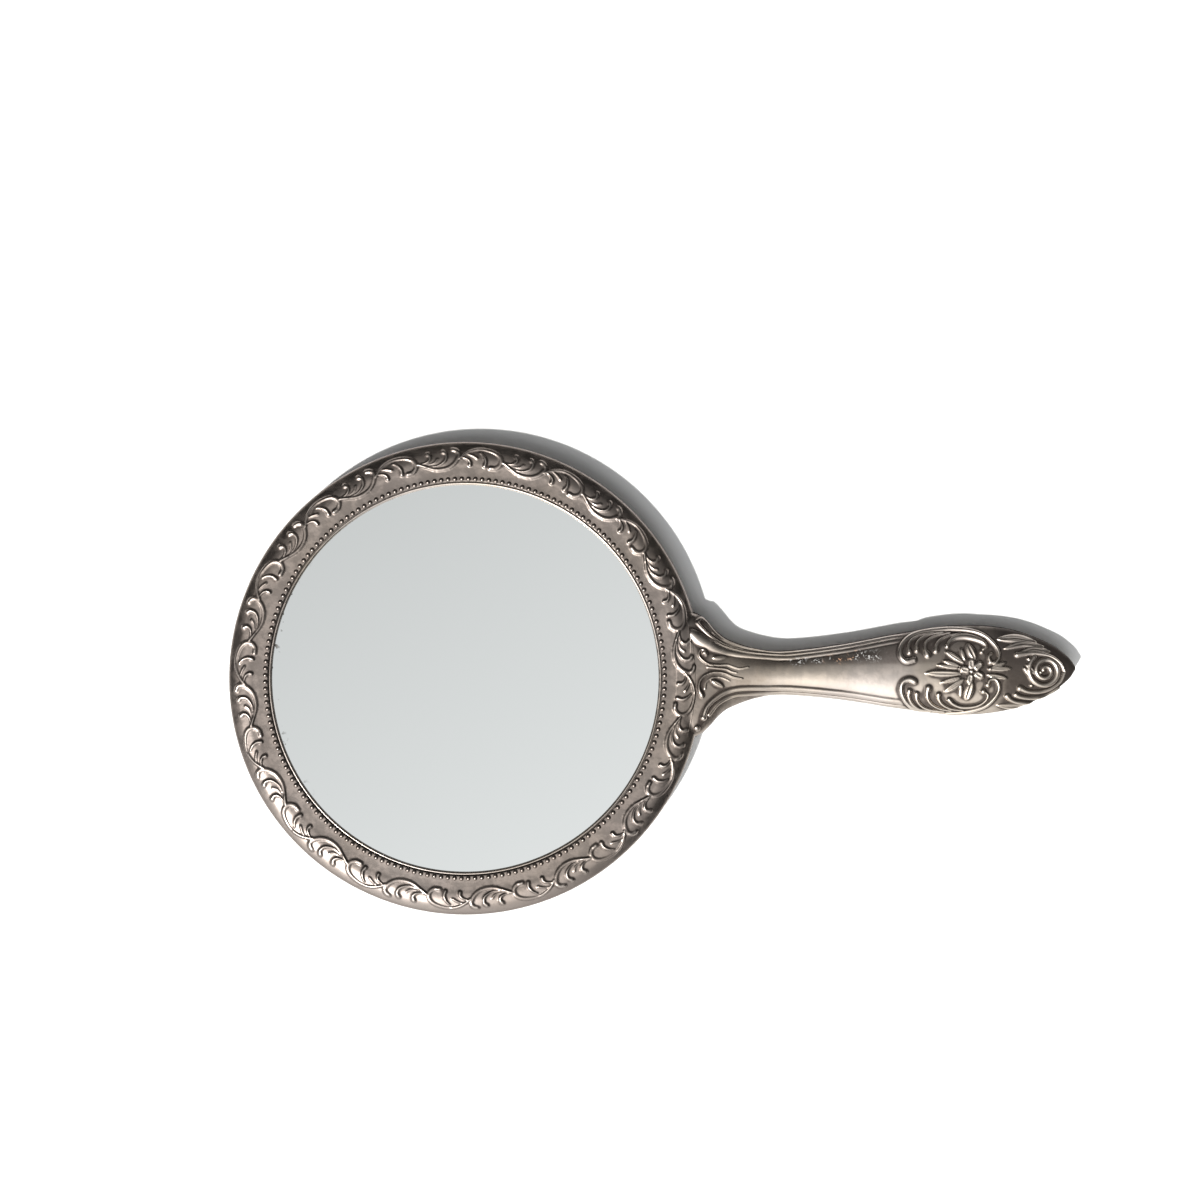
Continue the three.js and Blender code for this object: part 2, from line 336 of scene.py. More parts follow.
def even_steps(curve, step):
    """Points along a closely drawn curve, evenly spaced and about a step apart."""
    length = np.concatenate([[0], np.cumsum(np.linalg.norm(np.diff(curve, axis=0), axis=1))])
    places = np.linspace(0, length[-1], int(round(length[-1] / step)) + 1)
    return np.column_stack([np.interp(places, length, axis) for axis in curve.T])


# ---- The front of the head ----


def ring_relief(u, v):
    """One cup scroll and one arch scroll. u is the arc length and v the radius from the glass centre."""
    relief = Relief(u, v)
    half = math.radians(PAIR_ANGLE / 2) * ORNAMENT_RADIUS
    period = 2 * half
    for shift in (-period, 0, period):
        cup_scroll(relief, shift, half)
        arch_scroll(relief, shift + half, half)
    return relief.height


def cup_scroll(relief, start, span):
    def at(points):
        return [(start + a * span, r) for a, r in points]

    stem = [(0.17, 66.0), (0.09, 65.6), (0.04, 64.6), (0.07, 63.2), (0.15, 61.9), (0.28, 60.9), (0.45, 60.5)]
    stem += [(0.62, 60.7), (0.8, 61.6), (1.0, 62.9)]
    relief.scroll(at(stem), 0.66, 0.72, 0.38, 0.7)
    relief.hollow(at_width(at(stem[2:-1]), 0.36), 0.12)
    second = [(0.39, 65.5), (0.33, 64.6), (0.35, 63.1), (0.45, 62.1), (0.58, 61.6), (0.74, 61.8)]
    relief.scroll(at(second), 0.55, 0.72, 0.38)
    relief.scroll(at([(0.74, 65.4), (0.7, 64.4), (0.74, 63.4), (0.84, 62.9), (0.98, 63.0)]), 0.6, 0.76, 0.38)
    relief.scroll(at([(0.53, 63.6), (0.6, 62.7), (0.7, 62.4), (0.82, 62.4)]), 0.34, 0.36, 0.24)


def arch_scroll(relief, start, span):
    def at(points):
        return [(start + a * span, r) for a, r in points]

    stem = [(0.29, 60.9), (0.17, 61.0), (0.08, 61.8), (0.05, 63), (0.09, 64.3), (0.2, 65.3), (0.36, 65.9)]
    stem += [(0.56, 66.1), (0.76, 65.5), (0.93, 64.3), (1.02, 63.3)]
    relief.scroll(at(stem), 0.66, 0.7, 0.38, 0.6)
    relief.hollow(at_width(at(stem[1:-3]), 0.36), 0.12)
    relief.scroll(at([(0.43, 61.3), (0.41, 62.6), (0.46, 64), (0.55, 65.1)]), 0.58, 0.66, 0.4, 0.5)
    relief.scroll(at([(0.62, 63.4), (0.72, 64.1), (0.83, 64.5), (0.95, 64.3)]), 0.42, 0.42, 0.26, 0.4)
    relief.scroll(at([(0.78, 61.4), (0.78, 62.3), (0.84, 63.1), (0.95, 63.6)]), 0.54, 0.62, 0.4, 0.5)


def at_width(points, width):
    """The spline through the points as a path of one half width."""
    line = spline(points)
    return np.column_stack([line, np.full(len(line), width)])


RING_COLUMNS = 1360


def ring_level(radius):
    """The level of the front shell's plain face at a radius, falling steeply past its edge."""
    face = spline(RING_FACE, 16)
    beyond = np.maximum(radius - FRONT_RADIUS, 0) * 8
    return np.interp(radius, face[:, 0], face[:, 1]) - beyond


def smooth_max(a, b, blend):
    """The larger of two levels, rounded where they cross."""
    share = np.clip(0.5 + 0.5 * (a - b) / blend, 0, 1)
    return b + (a - b) * share + blend * 0.5 * share * (1 - share)


def raised(points, height, wrap_cols=False):
    """The grid's points moved out along the surface's normals by the relief."""
    along = np.gradient(points, axis=0)
    if wrap_cols:
        across = (np.roll(points, -1, 1) - np.roll(points, 1, 1)) / 2
    else:
        across = np.gradient(points, axis=1)
    normal = np.cross(along, across)
    normal /= np.maximum(np.linalg.norm(normal, axis=-1, keepdims=True), 1e-9)
    if normal[..., 2].mean() < 0:
        normal = -normal
    return points + normal * height[..., None]


def ring_section():
    """The front shell's closed section round the head, and which of its points are the face."""
    curve = spline(RING_FACE, 40)
    inner = curve[curve[:, 0] < 60.5]
    ornament = curve[(curve[:, 0] >= 60.5) & (curve[:, 0] < 66.5)]
    shoulder = curve[curve[:, 0] >= 66.5]
    face = [even_steps(inner, 0.3)[:-1], even_steps(ornament, 0.2)[:-1], even_steps(shoulder, 0.28)]
    face = np.vstack(face)
    edge = LIP_OUTER + GAP
    seam = SEAM + GAP / 2
    opening = [(edge, FRONT_INSIDE), (edge, RING_FACE[0][1] - 0.12), (edge + 0.1, RING_FACE[0][1] - 0.02)]
    outside = [(FRONT_RADIUS, 6.0), (FRONT_RADIUS, seam + 0.1), (FRONT_RADIUS - 0.1, seam)]
    inside = [(67, seam), (67, 7), (66.6, 7.9), (66, 8.6), (65, 9.4), (63.5, 9.9), (62, 9.95)]
    inside.append((60.6, FRONT_INSIDE))
    return np.vstack([opening, face, outside, inside]), len(opening), len(opening) + len(face)


def head_front(material):
    section, first, last = ring_section()
    angles = np.radians(FIRST_CUP) + np.arange(RING_COLUMNS) / RING_COLUMNS * 2 * np.pi
    per_pair = RING_COLUMNS // RING_PAIRS
    u = np.arange(per_pair) / per_pair * math.radians(PAIR_ANGLE) * ORNAMENT_RADIUS
    uu, rr = np.meshgrid(u, section[first:last, 0])
    pair = ring_relief(uu, rr) * (1 - smooth((rr - 66.2) / 0.6))
    height = np.zeros((len(section), RING_COLUMNS))
    height[first:last] = np.tile(pair, (1, RING_PAIRS))
    radius = np.repeat(section[:, :1], RING_COLUMNS, 1)
    level = np.repeat(section[:, 1:], RING_COLUMNS, 1)
    x, y = radius * np.cos(angles), radius * np.sin(angles)
    dome = handle_level(np.maximum(x, 59), y)
    order = np.arange(len(section))[:, None]
    neck = (order >= first) & (order < last) & (x > 0) & (radius > 60.8)
    share = smooth((JOIN_RADIUS + 0.55 - radius) / 0.2)
    level = np.where(neck, level + (smooth_max(level, dome, JOIN_BLEND) - level) * share, level)
    face = raised(np.stack([x, y, level], -1), height, True)
    crease = tarnish_and_shade(height, (1, 2), (False, True), 0.17)
    crease = np.maximum(crease, ring_grime(radius, angles[None, :], level))
    shade = {"tarnish_and_shade": crease, "relief": height / RING_RELIEF}
    made = grid_object("head_front", face, True, True, material, shade)
    return finish_piece(made, "silver_plate", "front_shell")


def ring_grime(radius, angles, level):
    """Tarnish gathers at the foot of each bead and along the seam with the back."""
    step = 2 * math.pi / BEAD_COUNT
    aside = radius * (angles - np.round(angles / step) * step)
    away = np.hypot(aside, radius - BEAD_RING)
    foot = 0.5 * np.exp(-(((away - BEAD_SIZE) / 0.2) ** 2)) * (level > FRONT_INSIDE + 0.2)
    seam = 0.8 * smooth((6.6 - level) / 1.2) * (radius > FRONT_RADIUS - 0.5)
    return np.maximum(foot, seam)


def bead_row(material):
    """The stamped beads, as low domes sunk in the front shell."""
    base = RING_FACE[0][1]
    made = bmesh.new()
    shade = made.verts.layers.float.new("tarnish_and_shade")
    for i in range(BEAD_COUNT):
        turn = Matrix.Rotation(2 * math.pi * i / BEAD_COUNT, 3, "Z")
        found = bmesh.ops.create_uvsphere(made, u_segments=18, v_segments=10, radius=BEAD_SIZE)["verts"]
        for v in found:
            v[shade] = 0.6 * float(smooth(0.7 - v.co.z / BEAD_SIZE))
            v.co = turn @ Vector((BEAD_RING + v.co.x, v.co.y, base - 0.1 + v.co.z * BEAD_RISE)) * MM
    mesh = bpy.data.meshes.new("bead_row")
    made.to_mesh(mesh)
    made.free()
    mesh.shade_smooth()
    obj = bpy.data.objects.new("bead_row", mesh)
    bpy.context.scene.collection.objects.link(obj)
    obj.data.materials.append(material)
    return finish_piece(obj, "silver_plate", "front_shell")


def rim(material):
    """The thin rim that holds the glass, with a rounded lip."""
    turn = np.linspace(0, math.pi / 2, 9)
    lip = np.column_stack([OPENING_RADIUS + 0.55 * (1 - np.sin(turn)), LIP_TOP - 0.65 * (1 - np.cos(turn))])
    behind = [(OPENING_RADIUS, LIP_BOTTOM), (SKIRT_INNER, LIP_BOTTOM), (SKIRT_INNER, SKIRT_BOTTOM)]
    outside = [(SKIRT_OUTER, SKIRT_BOTTOM), (SKIRT_OUTER, WEB_TOP), (LIP_OUTER, WEB_TOP)]
    outside.append((LIP_OUTER, LIP_TOP - 0.07))
    section = np.vstack([lip, behind, outside])
    angles = np.arange(360) / 360 * 2 * np.pi
    level = np.repeat(section[:, 1:], len(angles), 1)
    points = np.stack([section[:, :1] * np.cos(angles), section[:, :1] * np.sin(angles), level], -1)
    # Painted shade: the rim's outer side and underside, seen only down the narrow gap beside the lip, are
    # darkened.
    darkening = 0.7 * (section[:, :1] > LIP_OUTER - 0.02) * np.ones_like(level)
    shade = {"tarnish_and_shade": darkening, "polish": np.ones_like(level)}
    made = grid_object("rim", points, True, True, material, shade)
    made.data.set_sharp_from_angle(angle=math.radians(50))
    return finish_piece(made, "silver_plate", "glass_rim")


# ---- The pane ----


def pane(material):
    arris = 0.5
    section = np.array(
        [
            (0.01, PANE_TOP),
            (PANE_RADIUS - 12, PANE_TOP),
            (PANE_RADIUS - arris - 0.01, PANE_TOP),
            (PANE_RADIUS - arris, PANE_TOP - 0.005),
            (PANE_RADIUS, PANE_TOP - arris),
            (PANE_RADIUS, PANE_BOTTOM + arris),
            (PANE_RADIUS - arris, PANE_BOTTOM),
            (0.01, PANE_BOTTOM),
        ]
    )
    angles = np.arange(360) / 360 * 2 * np.pi
    radius = section[:, :1]
    level = np.repeat(section[:, 1:], len(angles), 1)
    points = np.stack([radius * np.cos(angles), radius * np.sin(angles), level], -1)
    made = grid_object("pane", points, False, True, material, caps=(0, -1))
    made.data.set_sharp_from_angle(angle=math.radians(20))
    return finish_piece(made, "mirror_glass", "mirror_glass")


# ---- The handle ----


def handle_shape():
    """Distance, half width and height along the handle, closely spaced."""
    return spline(HANDLE_STATIONS, 24)


def handle_at(x):
    line = handle_shape()
    return np.interp(x, line[:, 0], line[:, 1]), np.interp(x, line[:, 0], line[:, 2])


HANDLE_END = HANDLE_STATIONS[-1][0]
HANDLE_ROWS = 500
HANDLE_COLUMNS = 171


def handle_level(x, y, inset=FLANGE, side=1):
    """The level of the handle's plain face over a point, or the seam's outside its outline."""
    half, height = handle_at(x)
    half = np.maximum(half - inset, 0.25)
    height = np.maximum((height - inset) * (1 if side > 0 else BACK_DEPTH), 0.25)
    near = 1 - smooth((x - 65) / 12)
    height = height + NECK_RISE * near
    wall = np.minimum(EDGE_WALL, height * 0.5)
    power = 2 + NECK_SQUARENESS * near
    crown = np.clip(1 - np.abs(y / half) ** power, 0, 1) ** (1 / power)
    return SEAM + side * (GAP / 2 + wall * smooth(crown / 0.08) + (height - wall) * crown)


def handle_surface(side, rows, columns, inset):
    """The handle's face on one side, before its ornament.

    It gives x, y and z at each point, and the distance in from the handle's edge.
    """
    across = np.cos(np.linspace(0, np.pi, columns))[None, :]
    run = np.linspace(0, 1, rows)[:, None]
    start = np.full_like(across, JOIN_RADIUS)
    for _ in range(40):
        start = np.sqrt(JOIN_RADIUS**2 - (handle_at(start)[0] * across) ** 2)
    x = start + (HANDLE_END - start) * run
    half = np.maximum(handle_at(x)[0] - inset, 0.25)
    y = half * across
    return x, y, handle_level(x, y, inset, side), half * (1 - np.abs(across))


# A reed's distance in from the handle's edge, its half width and its height.
OUTER_REED = (0.45, 0.45, 0.3)
INNER_REED = (1.65, 0.8, 0.38)
REED_GROOVE = 2.6


def border_relief(x, inward):
    """Two reeds and a groove that follow the handle's edge, along the shaft."""
    keep = smooth((x - 86) / 6) * (1 - smooth((x - 122) / 8))
    flatten = 1 - 0.4 * smooth((x - 102) / 12)
    groove = -0.12 * np.exp(-(((inward - REED_GROOVE) / 0.2) ** 2))
    reeds = np.maximum(reed(inward, OUTER_REED), flatten * reed(inward, INNER_REED))
    return keep * (reeds + flatten * groove)


def reed(inward, shape):
    centre, width, height = shape
    return height * np.clip(1 - ((inward - centre) / width) ** 2, 0, 1) ** 0.85


def reed_line(shape, ends):
    """Points on a reed's crest, as (x, y) above the handle's axis, at each of the given x."""
    return [(x, float(handle_at(x)[0] - FLANGE - shape[0])) for x in ends]


def upper_scroll(relief):
    """The shell scroll above the flower: a long curled stem with fingers and a crescent inside it."""
    stem = [(129.2, 3.3), (127.0, 2.9), (125.6, 4.1), (125.3, 5.8), (126.2, 8.0), (128.4, 9.9)]
    stem += [(131.6, 11.1), (136, 11.7), (141, 11.9), (146.2, 11.3), (149.6, 10), (152, 7.9)]
    stem += [(153.5, 5.7), (153.7, 3.6), (152.6, 2.1), (151.2, 2.4), (150.8, 3.8), (151.6, 4.6)]
    relief.scroll(stem, 0.68, 1.0, 0.6, 0.85)
    relief.knob(151.2, 2.3, 0.8, 0.6)
    fingers = [
        ([(128.0, 5.4), (127.8, 7.0), (128.8, 8.9), (131.4, 10.2), (135.0, 10.9)], 0.85),
        ([(130.1, 5.9), (130.2, 7.5), (131.3, 9.1), (133.8, 10.3), (138.0, 11.0)], 0.75),
        ([(133.2, 4.6), (132.5, 6.4), (133.2, 8.5), (135.8, 10.0), (140.0, 10.8)], 1.1),
        ([(135.6, 5.7), (135.9, 7.3), (137.2, 8.9), (139.8, 10.0), (143.0, 10.6)], 0.85),
    ]
    for path, bulb in fingers:
        relief.scroll(path, 0.62, bulb, 0.6, 0.5)
    relief.knob(138.9, 7.0, 0.68, 0.56)
    crescent = [(138.9, 7.0), (139.8, 8.4), (141.4, 9.4), (144.2, 9.7), (147, 9.1), (149.2, 8.1)]
    crescent += [(150.1, 6.7), (149.2, 5.9)]
    line = spline(crescent)
    run = np.linspace(0, 1, len(line))
    relief.ridge(np.column_stack([line, 0.5 + 0.55 * np.sin(np.pi * run) ** 2]), 0.6)
    relief.knob(148.8, 5.2, 0.62, 0.5)


def lower_scroll(relief):
    """The shell scroll below the flower, with taller fingers and a plain inner crescent."""
    stem = [(129.2, -3.0), (127.9, -2.4), (126.2, -2.9), (125.4, -4.6), (125.7, -6.6), (127.0, -8.9)]
    stem += [(129.4, -10.8), (132.6, -12.0), (137, -12.5), (142, -12.4), (146.4, -11.6), (149.8, -10.4)]
    stem += [(152, -8.5), (153.4, -6.3), (153.5, -4.3), (152.5, -2.7), (151, -2.9), (150.4, -4.2)]
    relief.scroll(stem, 0.78, 1.05, 0.62, 0.8)
    relief.knob(150.4, -4.3, 0.85, 0.62)
    crescent = [(139.2, -8.4), (140.7, -9.8), (143.5, -10.7), (147.0, -10.4), (149.5, -9.1)]
    crescent += [(150.4, -7.3), (149.2, -6.0)]
    fingers = [
        ([(127.8, -5.6), (127.6, -7.2), (128.7, -9.3), (131.0, -10.9), (134.2, -11.7)], 0.85),
        ([(129.9, -6.5), (130.0, -8.2), (131.4, -10.0), (134.0, -11.2), (138.0, -11.8)], 0.8),
        ([(133.3, -4.9), (132.9, -7.0), (133.8, -9.1), (136.2, -10.7), (140.0, -11.6)], 1.05),
        ([(136.2, -6.8), (136.3, -8.2), (137.5, -9.8), (140.0, -11.0), (143.4, -11.5)], 0.8),
        (crescent, 0.8),
    ]
    for path, bulb in fingers:
        relief.scroll(path, 0.62, bulb, 0.6, 0.6)
    relief.knob(149.1, -6.2, 0.85, 0.6)


FLOWER_CENTRE = np.array([145.8, -0.3])
FLOWER_PETALS = [(39, 2.6), (92, 2.3), (166, 2.3), (255, 2.4), (331, 2.5)]  # heading and reach
LEAF_WIDENING = 1.12  # on the widths and heights listed for the flower's leaves
LEAF_RAISING = 1.1


def flower(relief):
    """Five round petals about a small knob, in a rosette of pointed leaves."""
    leaves = [
        ((142.4, -0.9), (132.3, -0.6), 1.05, 0.5),
        ((142.4, -2.0), (136.6, -3.5), 0.75, 0.48),
        ((142.0, 0.6), (135.7, 1.7), 0.7, 0.54),
        ((142.3, 1.3), (137.4, 2.9), 0.72, 0.54),
        ((143.4, 2.2), (138.2, 5.6), 0.85, 0.6),
        ((143.9, 2.9), (142.7, 6.6), 0.65, 0.45),
        ((146.7, 3.3), (144.7, 7.7), 1.25, 0.58),
        ((143.2, -2.8), (137.9, -6.2), 1.15, 0.56),
        ((142.7, -4.2), (142.5, -7.9), 0.65, 0.5),
        ((145.7, -3.7), (144.1, -8.6), 1.4, 0.6),
        ((150.6, 0.3), (157.4, 0.3), 0.8, 0.5),
        ((151.4, 0.6), (155.9, 2.1), 0.75, 0.46),
        ((150.3, -1.4), (156.2, -2.5), 0.8, 0.5),
    ]
    for base, tip, width, height in leaves:
        relief.leaf(base, tip, width * LEAF_WIDENING, height * LEAF_RAISING)
    relief.knob(151.1, 0.3, 0.62, 0.56)
    for angle, reach in FLOWER_PETALS:
        way = np.array([math.cos(math.radians(angle)), math.sin(math.radians(angle))])
        petal = [FLOWER_CENTRE + way * (reach - 0.7), FLOWER_CENTRE + way * (reach + 0.3)]
        relief.ridge(at_width(petal, 1.2), 0.78, 0.6)
        relief.hollow(at_width(petal, 0.5), 0.22)
    relief.knob(*FLOWER_CENTRE, 0.65, 0.7)


VOLUTE_CENTRE = (167.2, -0.5)
VOLUTE_TURNS = 2.1
VOLUTE_START = 3.4  # radians
VOLUTE_RADII = (0.7, 5.0)


def volute(relief):
    """The spiral near the tip, its bud and the fronds that sweep round it."""
    turn = np.linspace(0, 2 * np.pi * VOLUTE_TURNS, 90)
    run = turn / turn[-1]
    radius = VOLUTE_RADII[0] + (VOLUTE_RADII[1] - VOLUTE_RADII[0]) * run
    x = VOLUTE_CENTRE[0] + radius * np.cos(turn + VOLUTE_START)
    y = VOLUTE_CENTRE[1] - radius * np.sin(turn + VOLUTE_START)
    relief.ridge(np.column_stack([x, y, 0.75 + 0.2 * run]), 0.66)
    relief.knob(165.8, -0.9, 0.6, 0.6)
    relief.leaf((164.3, -1.5), (161.5, 1.5), 0.85, 0.64)
    relief.leaf((163.1, -2.2), (160.7, 0.7), 0.75, 0.58)
    relief.knob(163.3, 1.6, 0.5, 0.5)
    relief.knob(162.3, 3.0, 0.55, 0.5)
    leaves = [
        ((164.4, 7.6), (153.4, 8.8), 1.45, -0.05),
        ((166.6, 6.3), (155.0, 5.9), 1.15, -0.1),
        ((168.4, 4.9), (158.9, 4.2), 1.1, -0.12),
        ((162.4, -10.3), (153.0, -10.3), 1.1, 0.03),
    ]
    for base, tip, width, bend in leaves:
        relief.leaf(base, tip, width, 0.56, bend)
    fronds = [
        [(159.1, 4.2), (161.8, 4.5), (165, 4.5), (168.8, 3.6), (171.6, 1.6), (172.9, -0.9)],
        [(159.8, -5.4), (162, -6.4), (165.4, -6.6), (168.8, -5.7), (171.6, -3.6), (172.9, -0.9)],
        [(158.6, -7.4), (160.6, -8.1), (164.2, -8.3), (168, -7.6), (171.4, -5.6)],
        [(156.0, -7.7), (157.4, -8.9), (160, -9.6), (163.6, -9.7), (166.8, -8.9)],
    ]
    for path in fronds:
        relief.scroll(path, 0.76, 0.95, 0.6, 0.6)
    relief.knob(159.7, -5.5, 0.95, 0.6)
    relief.knob(163.1, -4.7, 0.6, 0.5)


def neck_ornament(relief):
    """The strands, C-scroll and leaf between the ring and the waist."""
    upper_strands(relief)
    lower_strands(relief)
    strand = [(69.4, 6.0), (69.2, 7.0), (68, 7.3), (67.3, 6.0), (67.9, 4.7), (69.9, 3.2), (72.6, 2.7)]
    relief.scroll([*strand, (75.4, 2.7), (77.4, 2.0), (79.2, 1.6), (81.5, 2.0)], 0.4, 0.7, 0.48, 0.6)
    relief.knob(69, 6.4, 0.8, 0.6)
    relief.scroll([(69.8, 2.2), (72.4, 1.8), (75, 1.5), (76.6, 0.8), (78.2, 0.4)], 0.36, 0.36, 0.4, 0.5)
    relief.leaf((71.4, 4.8), (75.4, 5), 0.75, 0.36)
    hook = [(68.0, -5.9), (67.2, -4), (67.5, -1.8), (69.1, -0.1), (71.9, 0.7), (74.7, 0.3), (77, -0.7)]
    relief.scroll([*hook, (79.7, -1.3)], 0.42, 0.85, 0.5, 0.6)
    vein = [(68.9, -4), (69.3, -2.2), (71, -0.9), (73.5, -0.8), (76.1, -1.9)]
    relief.scroll(vein, 0.3, 0.3, 0.34, 0.6)
    relief.leaf((70.9, -1.7), (74.4, -3.7), 0.9, 0.58)


def upper_strands(relief):
    """Three strands that leave the ring above the neck. Two of them run into the shaft's reeds."""
    outer = reed_line(OUTER_REED, (90, 94))
    inner = reed_line(INNER_REED, (92, 97))
    upper = [(67.0, 15.4), (68.4, 16.2), (69.9, 14.6), (72, 11.9), (75.3, 9.3), (80, 7.4), (85, 6.5)]
    middle = [(67.0, 15.0), (68.1, 13.6), (70, 11.6), (72.6, 9.6), (76, 8), (81, 6.7), (88, 5.7)]
    sweep = [(65.4, 12, 1.4), (67.5, 10.4, 2.0), (70.2, 8.9, 1.9), (73.8, 7.2, 1.5)]
    sweep += [(78, 6.05, 1.15), (83, 5.25, 0.9)]
    sweep += [(x, y, INNER_REED[1]) for x, y in inner]
    relief.ridge(tapered([*upper, *outer], 0.6, OUTER_REED[1]), 0.42, fade=0.72)
    relief.ridge(tapered(middle, 0.6, 0.1), 0.45)
    relief.ridge(spline(sweep), 0.72, fade=0.53)
    groove = [(69, 15.0), (70.9, 12.7), (73.4, 10.4), (76.6, 8.65), (81, 7.15), (86, 6.2)]
    relief.hollow(tapered(groove, 0.4, 0.1), 0.2)


def lower_strands(relief):
    """Two strands that leave the ring below the neck, with the bulbs that they start from."""
    outer = [(x, -y) for x, y in reed_line(OUTER_REED, (90, 94))]
    inner = [(x, -y) for x, y in reed_line(INNER_REED, (92, 97))]
    edge = [(70, -11.6), (72.9, -8.3), (77, -6.4), (82, -5.9), *outer]
    relief.ridge(tapered(edge, 0.6, OUTER_REED[1]), 0.42, fade=0.72)
    main = [(68.4, -12), (69.6, -9.1), (72.4, -6.6), (75.8, -4.9), (81, -4.2), *inner]
    relief.ridge(tapered(main, 0.85, INNER_REED[1]), 0.6, fade=0.64)
    relief.knob(68.4, -12.4, 0.95, 0.75)
    relief.knob(66.5, -15.4, 1.0, 0.6)
    shadow_line = [(67.2, -14.1, 0.45), (68.7, -14.3, 0.7), (69.9, -13.3, 0.6), (70.5, -12.0, 0.3)]
    relief.hollow(shadow_line, 0.3)


def tapered(points, first, last):
    """The spline through the points as a path whose half width runs from first to last."""
    line = spline(points)
    return np.column_stack([line, np.linspace(first, last, len(line))])


def handle_front(material):
    x, y, z, inward = handle_surface(1, HANDLE_ROWS, HANDLE_COLUMNS, FLANGE)
    relief = Relief(x, y)
    upper_scroll(relief)
    lower_scroll(relief)
    flower(relief)
    volute(relief)
    neck_ornament(relief)
    reeds = border_relief(x, inward)
    height = np.where(relief.height > 0, np.maximum(relief.height, reeds), reeds)
    height = height * smooth(inward / 0.25)
    radius = np.hypot(x, y)
    seam = SEAM + GAP / 2
    ring = ring_level(radius) + 0.02
    joined = (radius < FRONT_RADIUS + 0.6) & (z > seam + 0.01)
    level = np.where(joined, smooth_max(ring, z, JOIN_BLEND), z)
    face = raised(np.stack([x, y, level], -1), height)
    face[:, (0, -1), 2] = seam
    crease = tarnish_and_shade(height, (4, 4), (False, False), 0.15)
    # Tarnish along the handle's edge, with painted shade that makes the upper edge, away from the light,
    # darker than the lower.
    crease = np.maximum(crease, np.where(y > 0, 0.85, 0.45) * (1 - smooth(inward / 0.4)))
    crease = np.maximum(crease, panel_shade_and_tarnish(x, y, height))
    crease = np.maximum(crease, shaft_shade_and_tarnish(x, y) * (1 - smooth(height / 0.25)))
    wear = wear_mask(x, y)
    made = shell_object("handle_front", 1, face, crease, height, wear, material, "front_shell")
    made.data.set_sharp_from_angle(angle=math.radians(70))
    return made


def panel_shade_and_tarnish(x, y, height):
    """Painted shade and tarnish on the sunk ground of the handle's end: painted shade above the flower, on
    the side away from the light, tarnish with painted shade round the raised ornament, and darker towards
    the tip.
    """
    # Tarnish with painted shade round the raised ornament.
    near = smooth((blur(smooth(height / 0.3), (9, 7), (False, False)) - 0.08) / 0.4)
    tip = smooth((x - 150) / 7)
    # Painted shade: stronger above the flower, on the side away from the light.
    strength = 0.5 + 0.16 * smooth((y - 1) / 3) + 0.42 * tip
    ground = np.maximum(near, np.maximum(0.9 * tip, 0.8 * smooth((y - 1) / 3)))
    return strength * ground * (1 - smooth(height / 0.25)) * smooth((x - 124) / 8)


def shaft_shade_and_tarnish(x, y):
    """Painted shade on the upper side of the shaft, above its axis and away from the light, and the duller
    plate round the waist.
    """
    # Painted shade: the shaft darker above its axis.
    side = 0.55 * smooth((x - 73) / 8) * (1 - smooth((x - 150) / 8)) * smooth((y - 0.9) / 1.9)
    waist = (0.38 + 0.14 * smooth((-y - 4) / 3)) * smooth((x - 66) / 6) * (1 - smooth((x - 82) / 12))
    return np.maximum(side, waist)


# Worn clusters on the shaft: the centre's x and y, the half length and the half width.
WORN_SPOTS = [
    (96.3, 3.3, 2.6, 0.9),
    (101.5, 3.4, 1.6, 0.6),
    (108, 3.8, 3.8, 0.95),
    (115.5, 4.8, 4.6, 1.3),
]
COPPER_FROM = 103.5  # the flecks are coppery between these distances along the handle
COPPER_TO = 112.5


def wear_mask(x, y):
    """Where the plate is rubbed through, in clusters on one side of the shaft."""
    total = np.zeros_like(x)
    for along, across, half_length, half_width in WORN_SPOTS:
        lengthwise = np.exp(-(((x - along) / half_length) ** 4))
        total += lengthwise * np.exp(-(((y - across) / half_width) ** 2))
    return np.minimum(total, 1)


def shell_object(name, side, face, crease, height, wear, material, *nodes):
    """A closed shell from an ornamented face, with its rim and a plain inner side."""
    rows = face.shape[0]
    inner = face.copy()
    middle = inner[:, :, 1].mean(1, keepdims=True)
    inner[:, :, 1] = middle + (inner[:, :, 1] - middle) * 0.9
    inner[:, :, 2] -= side * WALL
    base = SEAM + side * GAP / 2
    keep_inside = np.maximum if side > 0 else np.minimum
    inner[:, :, 2] = keep_inside(inner[:, :, 2], base)
    inner = inner[:, 4:-4:8]
    loop = np.concatenate([face, inner[:, ::-1]], 1)
    blank = np.zeros(inner.shape[:2])
    shade = {
        "tarnish_and_shade": np.concatenate([crease, blank], 1),
        "relief": np.concatenate([height / HANDLE_RELIEF, blank], 1),
        "wear": np.concatenate([wear, blank], 1),
    }
    made = grid_object(name, loop, False, True, material, shade, caps=(0, rows - 1))
    return finish_piece(made, "silver_plate", *nodes)


# ---- The back ----


def handle_back(material):
    x, y, z, inward = handle_surface(-1, 300, 121, 0)
    height = border_relief(x, inward + 0.3)
    relief = Relief(x, y)
    upper_scroll(relief)
    lower_scroll(relief)
    height = np.where(relief.height > 0, np.maximum(relief.height * 0.8, height), height)
    lift = height * smooth(inward / 0.6)
    face = np.stack([x, y, z - lift], -1)
    crease = tarnish_and_shade(height, (2, 2), (False, False), 0.2)
    wear = np.zeros_like(x)
    return shell_object("handle_back", -1, face, crease, height, wear, material, "back_shell")


BACK_SPRAYS = 8
SPRAY_RADIUS = 32  # arc lengths in the back's ornament are measured here
BACK_COLUMNS = 720


